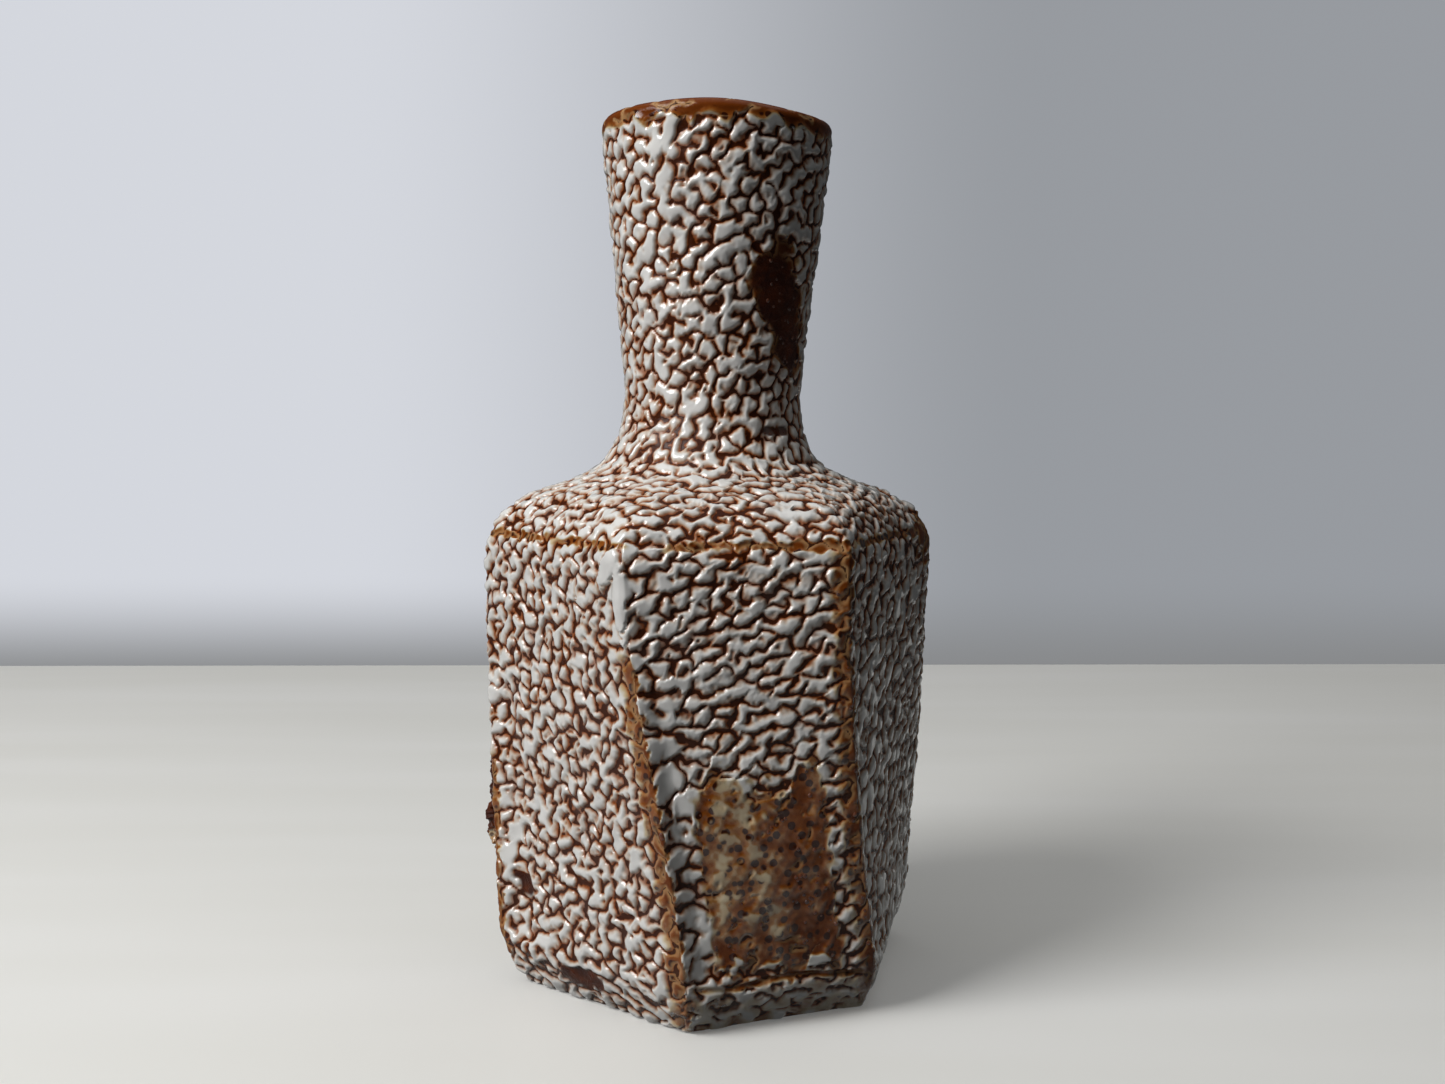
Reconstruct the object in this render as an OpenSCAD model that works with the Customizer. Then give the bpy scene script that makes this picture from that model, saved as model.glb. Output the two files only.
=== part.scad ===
// Faceted stoneware sake bottle with a crawled white glaze.
// Origin: centre of the flat foot. +Z up, the front is -Y. Millimetres.
// Angles round the bottle are measured from the front (-Y) towards +X.

/* [Body] */
// Height of the arris between the facets and the shoulder
shoulder_h = 84; // [80:0.5:86]
// Radius of the body at its six ridges, glaze included
ridge_r = 43.2; // [42:0.1:45]
// Radius of the flat foot at its corners
foot_r = 36.7; // [34:0.1:38]
// Height up to which the edge of the foot is rounded
foot_round_h = 14; // [10:0.5:18]
// How far a ridge winds round on its way down from the shoulder, in degrees
ridge_twist = 14; // [0:1:18]
// Deepest point of the scoop that the cutting wire left beside each ridge
scoop_depth = 3.4; // [0:0.1:3.6]

/* [Neck] */
// Height of the bottle along the neck
bottle_h = 160; // [150:1:170]
// Outer radius of the rim, glaze included
rim_r = 21.75; // [20:0.05:23]
// Outer radius of the waist of the neck, glaze included
waist_r = 16.6; // [15.5:0.1:17.5]
// Height of the waist
waist_h = 109.5; // [107:0.5:112]
// Lean of the neck towards +X, in degrees
neck_lean = 1.2; // [0:0.1:2]

/* [Clay] */
// Radius of the round chamber, before its liner
chamber_r = 30; // [26:0.5:30]
// Thickness of the floor
floor_t = 6; // [5:0.5:9]
// Wall of the neck at the waist
neck_wall = 3.5; // [3:0.1:4]
// Wall of the neck at the rim
rim_wall = 2.6; // [2.2:0.1:3]
// Thickness of the coil that lutes the neck to the shoulder, at its top edge
coil_t = 1.2; // [1:0.1:2]

/* [Glaze] */
// Thickness of the white glaze outside
coat_t = 0.9; // [0.6:0.1:1.2]
// Thickness of the glaze inside
liner_t = 0.7; // [0.5:0.1:1]
// Thickness of the brown glaze over the rim
lip_t = 0.8; // [0.5:0.1:1]
// Bare height left under the glaze at the foot
bare_h = 1.5; // [1:0.1:3]
// Height of the band of glaze round the foot
foot_band_h = 9; // [7:0.5:12]

/* [Hidden] */
$fn = 96;

// Ridges under the shoulder, and how each winds: 0 = mostly low down, 1 = evenly
RIDGES = [-84, -20, 33, 96, 157, 214];
RIDGE_EVENNESS = [0.5, 1, 0, 0.5, 0.5, 0.5];
FACETS = len(RIDGES);
// Places of the columns of points across a facet, from its left ridge to its right one
ACROSS = [0, 0.025, 0.07, 0.14, 0.25, 0.45, 0.72];
COLS = len(ACROSS);
TURN = FACETS * COLS;

// Height of the joint between the body and the neck
joint_h = shoulder_h + 13.5;
// Height of the top edge of the luting coil
coil_top_h = joint_h + 7.5;
// Radius of the ridges just above the foot's round
low_ridge_r = ridge_r - 1.2;
// Centre of the round of the rim
rim_mid_r = rim_r - coat_t - rim_wall / 2;
rim_mid_h = bottle_h - lip_t - rim_wall / 2;
// Height at which the white glaze stops under the rim
lip_edge_h = bottle_h - 3;
// Shoulder's outline over a ridge: four control points of a curve, as radius and height
SHOULDER_CURVE = [
    [ridge_r - 0.8, shoulder_h],
    [ridge_r - 4.7, shoulder_h + 9],
    [ridge_r - 18.2, shoulder_h + 8],
    [ridge_r - 23.1, joint_h]
];
// Roof of the chamber, as radius and height
ROOF_CURVE = [
    [chamber_r, shoulder_h - 6],
    [chamber_r, shoulder_h + 6],
    [chamber_r - 15, shoulder_h + 4.5],
    [waist_r - coat_t - neck_wall, joint_h]
];
// Fillet between the chamber's floor and its wall
floor_fillet = 7;

CLAY = "#5a2f1c";
GLAZE = "#e8e4dc";
RIM = "#8f5227";
LINER = "#cfc6b8";

function mix(a, b, t) = a + (b - a) * t;
function clamp01(t) = min(1, max(0, t));
function ease(t) = let (u = clamp01(t)) u * u * (3 - 2 * u);
function curve(p, t) =
    let (u = 1 - t)
    u * u * u * p[0] + 3 * u * u * t * p[1] + 3 * u * t * t * p[2] + t * t * t * p[3];

// Radius of a ridge at a height on the wall
function wall_r(z) =
    z < foot_round_h
        ? low_ridge_r - (low_ridge_r - foot_r) * pow(clamp01(1 - z / foot_round_h), 2.2)
        : mix(low_ridge_r, ridge_r, clamp01((z - foot_round_h) / (shoulder_h - 6 - foot_round_h)));

// Angle of a ridge at a height
function ridge_angle(i, z) =
    let (
        t = clamp01(1 - z / shoulder_h),
        k = i % FACETS
    )
    RIDGES[k] + 360 * floor(i / FACETS) + ridge_twist * mix(t * t, ease(t), RIDGE_EVENNESS[k]);

// How deep the scoop is at a height, and its shape across a facet
function scoop_at(z) =
    let (t = 1 - z / shoulder_h)
    scoop_depth * ease((t - 0.1) / 0.5) * (1 - ease((t - 0.86) / 0.045));
function scoop_shape(s) = ease(s / 0.1) * (0.72 * exp(-s / 0.1) + 0.28 * (1 - s));

// A row of points round the bottle: [radius, height, inward step as radius and height, hexagon]
WALL_HEIGHTS = [
    for (z = [0, bare_h, 4, 6.5]) z,
    for (k = [0 : 12]) mix(foot_band_h, shoulder_h - 3, k / 12)
];
SHOULDER_STEPS = 8;
function inward(t) =
    let (d = curve(SHOULDER_CURVE, min(1, t + 0.01)) - curve(SHOULDER_CURVE, max(0, t - 0.01)))
    t >= 1 ? [1, 0] : [d[1], -d[0]] / norm(d);
ROWS = concat(
    [[foot_r - 0.6, -0.5, [1, 0], 1]],
    [for (z = WALL_HEIGHTS) [wall_r(z), z, [1, 0], 1]],
    [for (k = [0 : SHOULDER_STEPS])
        let (
            t = k / SHOULDER_STEPS,
            p = curve(SHOULDER_CURVE, t)
        )
        [p[0], p[1], inward(t), 1 - ease(t * 1.15)]]
);
FOOT_ROW = 2;
BAND_ROW = 5;
ARRIS_ROW = 1 + len(WALL_HEIGHTS);
TOP_ROW = len(ROWS) - 1;

// A point of the outer skin, or of a surface a given step inside it
function skin(col, row, step) =
    let (
        facet = floor(col / COLS),
        s = ACROSS[col % COLS],
        p = ROWS[row],
        from = ridge_angle(facet, p[1]),
        to = ridge_angle(facet + 1, p[1]),
        half = (to - from) / 2,
        a = mix(from, to, s),
        flat = cos(half) / cos(a - from - half),
        r = (p[0] - step * p[2][0]) * mix(1, flat, p[3]) - scoop_at(p[1]) * scoop_shape(s)
    )
    [r * sin(a), -r * cos(a), p[1] - step * p[2][1]];

// The solid inside one of those surfaces, between two rows
module core(low, high, step) {
    rows = high - low + 1;
    points = concat(
        [for (j = [low : high], i = [0 : TURN - 1]) skin(i, j, step)],
        [[0, 0, skin(0, low, step)[2]], [0, 0, skin(0, high, step)[2]]]
    );
    sides = [for (j = [0 : rows - 2], i = [0 : TURN - 1], f = [0, 1])
        let (
            a = j * TURN + i,
            b = j * TURN + (i + 1) % TURN
        )
        f == 0 ? [a, a + TURN, b + TURN] : [a, b + TURN, b]];
    floor_fan = [for (i = [0 : TURN - 1]) [rows * TURN, i, (i + 1) % TURN]];
    top_fan = [for (i = [0 : TURN - 1])
        [rows * TURN + 1, (rows - 1) * TURN + (i + 1) % TURN, (rows - 1) * TURN + i]];
    polyhedron(points = points, faces = concat(sides, floor_fan, top_fan));
}

// A coat between the skin and the clay, all the way round
module band_coat(low, high) {
    rows = high - low + 1;
    grid = rows * TURN;
    points = [for (step = [0, coat_t], j = [low : high], i = [0 : TURN - 1]) skin(i, j, step)];
    sides = [for (j = [0 : rows - 2], i = [0 : TURN - 1], f = [0 : 3])
        let (
            a = j * TURN + i,
            b = j * TURN + (i + 1) % TURN
        )
        f == 0 ? [a, a + TURN, b + TURN]
        : f == 1 ? [a, b + TURN, b]
        : f == 2 ? [grid + a, grid + b + TURN, grid + a + TURN]
        : [grid + a, grid + b, grid + b + TURN]];
    edges = [for (i = [0 : TURN - 1], f = [0 : 3])
        let (
            n = (i + 1) % TURN,
            top = (rows - 1) * TURN
        )
        f == 0 ? [i, n, grid + n]
        : f == 1 ? [i, grid + n, grid + i]
        : f == 2 ? [top + i, grid + top + n, top + n]
        : [top + i, grid + top + i, grid + top + n]];
    polyhedron(points = points, faces = concat(sides, edges));
}

// The coat on one facet, from ridge to ridge
module facet_coat(facet) {
    rows = ARRIS_ROW - BAND_ROW + 1;
    wide = COLS + 1;
    grid = rows * wide;
    first = facet * COLS;
    points = [for (step = [0, coat_t], j = [BAND_ROW : ARRIS_ROW], i = [0 : COLS])
        skin(first + i, j, step)];
    sides = [for (j = [0 : rows - 2], i = [0 : COLS - 1], f = [0 : 3])
        let (a = j * wide + i)
        f == 0 ? [a, a + wide, a + wide + 1]
        : f == 1 ? [a, a + wide + 1, a + 1]
        : f == 2 ? [grid + a, grid + a + wide + 1, grid + a + wide]
        : [grid + a, grid + a + 1, grid + a + wide + 1]];
    ends = [for (i = [0 : COLS - 1], f = [0 : 3])
        let (top = (rows - 1) * wide + i)
        f == 0 ? [i, i + 1, grid + i + 1]
        : f == 1 ? [i, grid + i + 1, grid + i]
        : f == 2 ? [top, grid + top + 1, top + 1]
        : [top, grid + top, grid + top + 1]];
    flanks = [for (j = [0 : rows - 2], f = [0 : 3])
        let (
            left = j * wide,
            right = left + COLS
        )
        f == 0 ? [left, grid + left, grid + left + wide]
        : f == 1 ? [left, grid + left + wide, left + wide]
        : f == 2 ? [right, grid + right + wide, grid + right]
        : [right, right + wide, grid + right + wide]];
    polyhedron(points = points, faces = concat(sides, ends, flanks));
}

// Outer radius of the neck at a height, glaze included
function neck_r(z) =
    z < waist_h
        ? waist_r + (SHOULDER_CURVE[3][0] - waist_r) * pow((waist_h - z) / (waist_h - joint_h), 2.2)
        : mix(waist_r, rim_r, pow(clamp01((z - waist_h) / (rim_mid_h - waist_h)), 1.12));
// Radius of the bore in the clay at a height
function bore_r(z) =
    let (t = clamp01((z - waist_h) / (rim_mid_h - waist_h)))
    neck_r(max(z, waist_h)) - coat_t - mix(neck_wall, rim_wall, t);

function neck_line(low, high, steps, inset) =
    [for (k = [0 : steps]) let (z = mix(low, high, k / steps)) [neck_r(z) - inset, z]];
function bore_line(low, high, steps, inset) =
    [for (k = [steps : -1 : 0]) let (z = mix(low, high, k / steps)) [bore_r(z) - inset, z]];
// Round of the rim, from outside to inside, over a half thickness that may differ on each side
function rim_line(outside, inside) =
    [for (a = [0 : 15 : 180])
        let (h = mix(inside, outside, (1 + cos(a)) / 2))
        [rim_mid_r + h * cos(a), rim_mid_h + (rim_wall / 2 + (outside > rim_wall / 2 ? lip_t : 0)) * sin(a)]];

// Turns an outline into a part of the leaning neck, cut flat at the joint
module on_neck() {
    intersection() {
        translate([0, 0, joint_h]) rotate([0, neck_lean, 0]) translate([0, 0, -joint_h])
            rotate_extrude() children();
        translate([-2 * rim_r, -2 * rim_r, joint_h]) cube([4 * rim_r, 4 * rim_r, bottle_h]);
    }
}

// Outline of the chamber from the middle of its floor up to the joint, a given step inside the clay
function chamber_line(step) = concat(
    [[0, floor_t + step]],
    [for (a = [0 : 15 : 90])
        [chamber_r - floor_fillet + (floor_fillet - step) * sin(a),
            floor_t + floor_fillet - (floor_fillet - step) * cos(a)]],
    [for (k = [0 : 10])
        let (
            t = k / 10,
            d = curve(ROOF_CURVE, min(1, t + 0.01)) - curve(ROOF_CURVE, max(0, t - 0.01)),
            n = k == 10 ? [1, 0] : [d[1], -d[0]] / norm(d)
        )
        curve(ROOF_CURVE, t) - step * n]
);

module clay_body() {
    color(CLAY) difference() {
        core(0, TOP_ROW, coat_t);
        translate([-ridge_r, -ridge_r, -1]) cube([2 * ridge_r, 2 * ridge_r, 1]);
        rotate_extrude() polygon(concat(chamber_line(0), [[bore_r(joint_h), joint_h + 1], [0, joint_h + 1]]));
    }
}

module clay_neck() {
    shaft_r = neck_r(coil_top_h) - coat_t - coil_t;
    color(CLAY) on_neck() polygon(concat(
        [[shaft_r, joint_h - 1], [shaft_r, coil_top_h]],
        neck_line(coil_top_h, rim_mid_h, 12, coat_t),
        rim_line(rim_wall / 2, rim_wall / 2),
        bore_line(joint_h - 1, rim_mid_h - 1, 12, 0)
    ));
}

module neck_coil() {
    shaft_r = neck_r(coil_top_h) - coat_t - coil_t;
    color(CLAY) on_neck() polygon(concat(
        neck_line(joint_h - 1, coil_top_h, 5, coat_t),
        [[shaft_r, coil_top_h], [shaft_r, joint_h - 1]]
    ));
}

// A torn scrap of clay that stuck to the left side in the firing
module clay_burr() {
    // Each lump: [angle, height, distance from the axis, radius]
    lumps = [[-86, 25.5, 39.2, 2.6], [-86, 29.5, 39.6, 3.2], [-87, 34, 40.2, 1.6], [-86, 41, 40.6, 1.1]];
    color(CLAY) difference() {
        hull() for (lump = lumps)
            rotate([0, 0, lump[0]]) translate([0, -lump[2], lump[1]]) sphere(r = lump[3], $fn = 16);
        core(BAND_ROW, ARRIS_ROW, 0);
    }
}

module facet_glaze(facet) {
    color(GLAZE) facet_coat(facet);
}

module foot_glaze() {
    color(GLAZE) band_coat(FOOT_ROW, BAND_ROW);
}

module shoulder_glaze() {
    color(GLAZE) band_coat(ARRIS_ROW, TOP_ROW);
}

module neck_glaze() {
    inner = neck_line(joint_h - 1, lip_edge_h, 14, coat_t);
    color(GLAZE) on_neck() polygon(concat(
        neck_line(joint_h - 1, lip_edge_h, 14, 0),
        [for (k = [len(inner) - 1 : -1 : 0]) inner[k]]
    ));
}

module lip_glaze() {
    clay = rim_line(rim_wall / 2, rim_wall / 2);
    color(RIM) on_neck() polygon(concat(
        [[neck_r(lip_edge_h), lip_edge_h]],
        rim_line(rim_wall / 2 + coat_t, rim_wall / 2 + liner_t),
        [[bore_r(lip_edge_h) - liner_t, lip_edge_h], [bore_r(lip_edge_h), lip_edge_h]],
        [for (k = [len(clay) - 1 : -1 : 0]) clay[k]],
        [[neck_r(lip_edge_h) - coat_t, lip_edge_h]]
    ));
}

module chamber_liner() {
    outer = chamber_line(0);
    color(LINER) rotate_extrude() polygon(concat(
        chamber_line(liner_t),
        [for (k = [len(outer) - 1 : -1 : 0]) outer[k]]
    ));
}

module neck_liner() {
    outer = bore_line(joint_h - 1, lip_edge_h, 12, 0);
    color(LINER) on_neck() polygon(concat(
        bore_line(joint_h - 1, lip_edge_h, 12, liner_t),
        [for (k = [len(outer) - 1 : -1 : 0]) outer[k]]
    ));
}

clay_body();
clay_neck();
neck_coil();
clay_burr();
for (k = [1 : FACETS])
    facet_glaze(k - 1);
foot_glaze();
shoulder_glaze();
neck_glaze();
lip_glaze();
chamber_liner();
neck_liner();
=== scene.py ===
"""A faceted sake bottle: stoneware under a white glaze that crawled into beads over iron-brown clay."""

import math
from functools import lru_cache

import bmesh
import bpy
import numpy as np
from bpy.props import FloatProperty, FloatVectorProperty, IntProperty, PointerProperty
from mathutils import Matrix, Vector
from mathutils.kdtree import KDTree


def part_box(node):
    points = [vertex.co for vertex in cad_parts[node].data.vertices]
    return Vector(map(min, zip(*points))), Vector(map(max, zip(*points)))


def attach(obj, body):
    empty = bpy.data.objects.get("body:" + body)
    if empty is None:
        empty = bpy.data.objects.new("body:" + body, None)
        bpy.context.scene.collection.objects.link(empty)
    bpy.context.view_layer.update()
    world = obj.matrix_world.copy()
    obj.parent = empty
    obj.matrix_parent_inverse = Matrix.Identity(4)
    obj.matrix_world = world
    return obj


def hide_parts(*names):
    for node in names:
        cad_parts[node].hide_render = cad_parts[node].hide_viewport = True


bl_info = {
    "name": "Crawled Glaze Sake Bottle",
    "version": (1, 0, 0),
    "blender": (4, 5, 0),
    "location": "3D View > Sidebar > Bottle",
    "description": "Glazes and stages the faceted sake bottle around its packed model",
    "category": "Object",
}

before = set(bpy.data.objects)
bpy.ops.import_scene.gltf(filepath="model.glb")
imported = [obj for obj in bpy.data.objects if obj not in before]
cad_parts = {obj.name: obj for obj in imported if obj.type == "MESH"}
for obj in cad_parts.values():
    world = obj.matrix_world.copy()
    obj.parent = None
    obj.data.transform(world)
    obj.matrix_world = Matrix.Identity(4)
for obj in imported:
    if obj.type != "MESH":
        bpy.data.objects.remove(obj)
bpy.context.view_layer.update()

# Sizes are in millimetres, and angles in degrees from the front towards +X.
MM = 0.001
BODY = "root"


# The room around the table, in metres, and the light that the table gives off
ROOM_HALF = 0.341
ROOM_H = 0.9
ROOM_CORNER = 0.02
TABLE_GLOW = 0.12


def bottom_of(node):
    """Lowest height of a CAD node."""
    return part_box(node)[0].z / MM


def top_of(node):
    """Highest height of a CAD node."""
    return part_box(node)[1].z / MM


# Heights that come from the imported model
BARE_H = bottom_of("foot_glaze")
BAND_H = bottom_of("facet_glaze_1")
ARRIS_H = top_of("facet_glaze_1")
JOINT_H = bottom_of("neck_coil")

# The faceted body
FACETS = 6
RIDGES = (-84, -20, 33, 96, 157, 214)
RIDGE_EVENNESS = (0.5, 1, 0, 0.5, 0.5, 0.5)
RIDGE_TWIST = 14
RIDGE_R = 43.2
LOW_RIDGE_R = RIDGE_R - 1.2
FOOT_R = 36.7
FOOT_ROUND_H = 14
ARRIS_ROUND_H = 3
ARRIS_R = RIDGE_R - 0.8
RIDGE_SOFTNESS = 0.3
SCOOP_DEPTH = 3.4
SHOULDER_CURVE = ((ARRIS_R, ARRIS_H), (38.5, 93), (25, 92), (20.1, JOINT_H))
ROOF_CURVE = ((30, 78), (30, 90), (15, 88.5), (12.2, JOINT_H))
CHAMBER_R = 30
FLOOR_H = 6
FLOOR_FILLET = 7

# The neck
WAIST_R = 16.6
WAIST_H = 109.5
RIM_R = 21.75
RIM_MID_R = 19.55
RIM_MID_H = 157.9
RIM_OUT = 2.2
RIM_IN = 2.0
RIM_RISE = 2.1
LIP_H = 157
COAT_T = 0.9
WALL_AT_WAIST = 3.5
WALL_AT_RIM = 2.6
LINER_T = 0.7
NECK_LEAN = math.radians(1.2)
LEAN_BLEND_H = 20

# The foot's bare clay: how far it stands back, its recess, the pitch of its turning grooves
FOOT_INSET = 0.8
FOOT_RECESS = 0.9
GROOVE_PITCH = 1.5
CLAY_COLS = 40
# Lumps of the torn scrap of clay: angle, height, distance from the axis, radius
BURR_LUMPS = ((-85, 25, 40.2, 2.4), (-86, 29.5, 40.4, 3.0), (-87, 34, 40.8, 1.7), (-85, 41, 41.2, 1.1))
# Height up to which the scrap is glazed
BURR_GLAZED_H = 25.5
# Height at which the crawled coat starts above the table
GLAZE_START_H = BARE_H / 3

# How far the coarse back of a coat lies behind its face
WALL_BACKING = 1.5
NECK_BACKING = COAT_T - 0.05

# Columns over one facet, distance between rows, and how many of them the coarse back skips
FACET_COLS = 160
ROW_STEP = 0.25
LONG_ROW_STEP = 1.25 * ROW_STEP
BACKING_STEP = 8


def ease(t):
    """Smooth step from 0 to 1."""
    t = np.clip(t, 0.0, 1.0)
    return t * t * (3.0 - 2.0 * t)


def mix(a, b, t):
    """Straight blend of two values."""
    return a + (b - a) * t


def bezier(points, t):
    """Points of a cubic curve, as an array of (radius, height)."""
    a, b, c, d = (np.array(p, float) for p in points)
    t = np.asarray(t, float)[..., None]
    u = 1 - t
    return u**3 * a + 3 * u * u * t * b + 3 * u * t * t * c + t**3 * d


def ripple(points, length, seed, waves=14):
    """Smooth noise of about unit size, whose bumps are a given length apart."""
    rng = np.random.default_rng(seed)
    ways = rng.standard_normal((waves, 3))
    ways /= np.linalg.norm(ways, axis=1, keepdims=True)
    rates = 2 * np.pi / (length * rng.uniform(0.75, 1.35, waves))
    phases = rng.uniform(0, 2 * np.pi, waves)
    total = np.zeros(len(points))
    for way, rate, phase in zip(ways, rates, phases):
        total += np.cos(points @ (way * rate) + phase)
    return total / math.sqrt(waves / 2)


# ---------------------------------------------------------------- the bottle's outer surface


def wall_radius(z):
    """Radius of a ridge at a height on the wall."""
    round_off = (LOW_RIDGE_R - FOOT_R) * np.clip(1 - z / FOOT_ROUND_H, 0, 1) ** 2.2
    rise = np.clip((z - FOOT_ROUND_H) / (ARRIS_H - 6 - FOOT_ROUND_H), 0, 1)
    arris = (RIDGE_R - ARRIS_R) * np.clip(1 - (ARRIS_H - z) / ARRIS_ROUND_H, 0, 1) ** 2
    return mix(LOW_RIDGE_R, RIDGE_R, rise) - round_off - arris


def neck_radius(z):
    """Outer radius of the neck at a height."""
    low = WAIST_R + (20.1 - WAIST_R) * np.clip((WAIST_H - z) / (WAIST_H - JOINT_H), 0, 1) ** 2.2
    high = (RIM_R - WAIST_R) * np.clip((z - WAIST_H) / (RIM_MID_H - WAIST_H), 0, 1) ** 1.12
    return low + high


def bore_radius(z):
    """Radius of the bore in the clay of the neck at a height."""
    t = np.clip((z - WAIST_H) / (RIM_MID_H - WAIST_H), 0, 1)
    return neck_radius(np.maximum(z, WAIST_H)) - COAT_T - mix(WALL_AT_WAIST, WALL_AT_RIM, t)


@lru_cache(maxsize=1)
def outline():
    """The outline over a ridge, from the foot over the rim into the neck.

    Returns the distance along it, its radius and height, its hexagon share, and the distances of
    the borders between the coats.
    """
    step = 0.2
    wall_z = np.arange(0, ARRIS_H, step)
    wall = np.stack([wall_radius(wall_z), wall_z], 1)
    t = np.linspace(0, 1, 140)
    dome = bezier(SHOULDER_CURVE, t)
    neck_z = np.arange(JOINT_H + step, RIM_MID_H, step)
    neck = np.stack([neck_radius(neck_z), neck_z], 1)
    turn = np.radians(np.linspace(0, 180, 40))
    thick = mix(RIM_IN, RIM_OUT, (1 + np.cos(turn)) / 2)
    rim = np.stack([RIM_MID_R + thick * np.cos(turn), RIM_MID_H + RIM_RISE * np.sin(turn)], 1)
    bore_z = np.arange(RIM_MID_H - step, JOINT_H, -step)
    bore = np.stack([bore_radius(bore_z) - LINER_T, bore_z], 1)
    line = np.concatenate([wall, dome, neck, rim, bore])
    share = np.concatenate([
        np.ones(len(wall)), 1 - ease(1.15 * t), np.zeros(len(neck) + len(rim) + len(bore))
    ])
    along = np.concatenate([[0], np.cumsum(np.linalg.norm(np.diff(line, axis=0), axis=1))])
    first_neck = len(wall) + len(dome)
    last_neck = first_neck + len(neck)
    first_bore = last_neck + len(rim)
    marks = {
        "band": float(np.interp(BAND_H, line[:len(wall), 1], along[:len(wall)])),
        "arris": float(along[len(wall)]),
        "joint": float(along[first_neck - 1]),
        "lip": float(np.interp(LIP_H, neck[:, 1], along[first_neck:last_neck])),
        "rim": float(along[last_neck + len(rim) // 2]),
        "lip_in": float(np.interp(-LIP_H, -bore[:, 1], along[first_bore:])),
        "end": float(along[-1]),
    }
    return along, line, share, marks


MARKS = outline()[3]


def ridge_angle(ridge, z):
    """Angle of a ridge at a height. Ridges count on past the sixth, a turn further on."""
    t = np.clip(1 - z / ARRIS_H, 0, 1)
    ridge = np.asarray(ridge, int)
    even = np.array(RIDGE_EVENNESS)[ridge % FACETS]
    start = np.array(RIDGES, float)[ridge % FACETS] + 360 * (ridge // FACETS)
    return start + RIDGE_TWIST * mix(t * t, ease(t), even)


def scoop(s, z):
    """How deep the cutting wire's scoop is at a share of the way across a facet."""
    t = 1 - z / ARRIS_H
    depth = SCOOP_DEPTH * ease((t - 0.1) / 0.5) * (1 - ease((t - 0.86) / 0.045))
    return depth * ease(s / 0.1) * (0.72 * np.exp(-s / 0.1) + 0.28 * (1 - s))


def flat_share(facet, turn, z):
    """Radius of a facet's flat in a direction, as a share of the ridges' radius."""
    low, high = ridge_angle(facet, z), ridge_angle(facet + 1, z)
    half = np.radians(high - low) / 2
    away = np.radians(turn - low) - half
    return np.cos(half) / np.maximum(np.cos(away), 0.05)


def place(f, v):
    """Where a surface point is: radius over the ridges, height, hexagon share, facet and angle.

    The whole part of f is the facet, and the rest is the way across it. v is the distance along
    the outline.
    """
    along, line, share, _ = outline()
    radius = np.interp(v, along, line[:, 0])
    z = np.interp(v, along, line[:, 1])
    facet = np.floor(f).astype(int)
    low, high = ridge_angle(facet, z), ridge_angle(facet + 1, z)
    turn = mix(low, high, f - facet)
    return radius, z, np.interp(v, along, share), facet, turn


def height_of(v):
    """Height of the outline at a distance along it."""
    along, line, _, _ = outline()
    return np.interp(v, along, line[:, 1])


def skin(f, v):
    """Points of the bottle's outer surface before the glaze crawled."""
    radius, z, share, facet, turn = place(f, v)
    soft = RIDGE_SOFTNESS / RIDGE_R
    total = sum(np.exp(-flat_share(facet + k, turn, z) / soft) for k in (-1, 0, 1))
    r = radius * mix(1, -soft * np.log(total), share) - share * scoop(f - facet, z)
    a = np.radians(turn)
    points = np.stack([r * np.sin(a), -r * np.cos(a), z], 1)
    by_hand = 0.1 + 0.1 * ripple(points, 24, 11)
    outward = points[:, :2] / np.maximum(r, 1)[:, None]
    points[:, :2] += by_hand[:, None] * outward
    rim_wave = 0.65 + 0.2 * ripple(points * (1, 1, 0), 26, 12) - 0.018 * points[:, 0]
    points[:, 2] += rim_wave * ease((z - 148) / 10)
    above = np.maximum(points[:, 2] - JOINT_H, 0)
    points[:, 2] -= points[:, 0] * math.sin(NECK_LEAN) * ease(above / LEAN_BLEND_H)
    points[:, 0] += above * math.sin(NECK_LEAN)
    return points


def skin_frame(f, v):
    """Points of the outer surface, with its directions round, up and outwards."""
    reach = 0.7
    round_step = reach / 45
    points = skin(f, v)
    across = skin(f + round_step, v) - skin(f - round_step, v)
    up = skin(f, v + reach) - skin(f, v - reach)
    out = np.cross(across, up)
    for way in (across, up, out):
        way /= np.maximum(np.linalg.norm(way, axis=1, keepdims=True), 1e-6)
    return points, across, up, out


# ---------------------------------------------------------------- where the glaze crawled, and how

# Spots where the glaze is rusty or gone: angle, height, half width in degrees, half height, seed
RUST_SPOT = (95, 82, 9, 4.5, 37)
JOINT_SPOT = (44, 103, 12, 0.9, 44)
BARE_SPOTS = (
    (-43, 5.2, 9, 2.2, 42),
    (-66, 19.5, 3.2, 2.6, 43),
    (170, 30, 9, 7, 45),
    (-150, 128, 12, 5, 46),
)
# Heights above which the lip is rusty, outside and in the bore
LIP_RUST_H = 155.9
BORE_RUST_H = 154
# The groove where the front facet's cut ends
LEDGE_H = 9
LEDGE_DEPTH = 0.45

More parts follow.
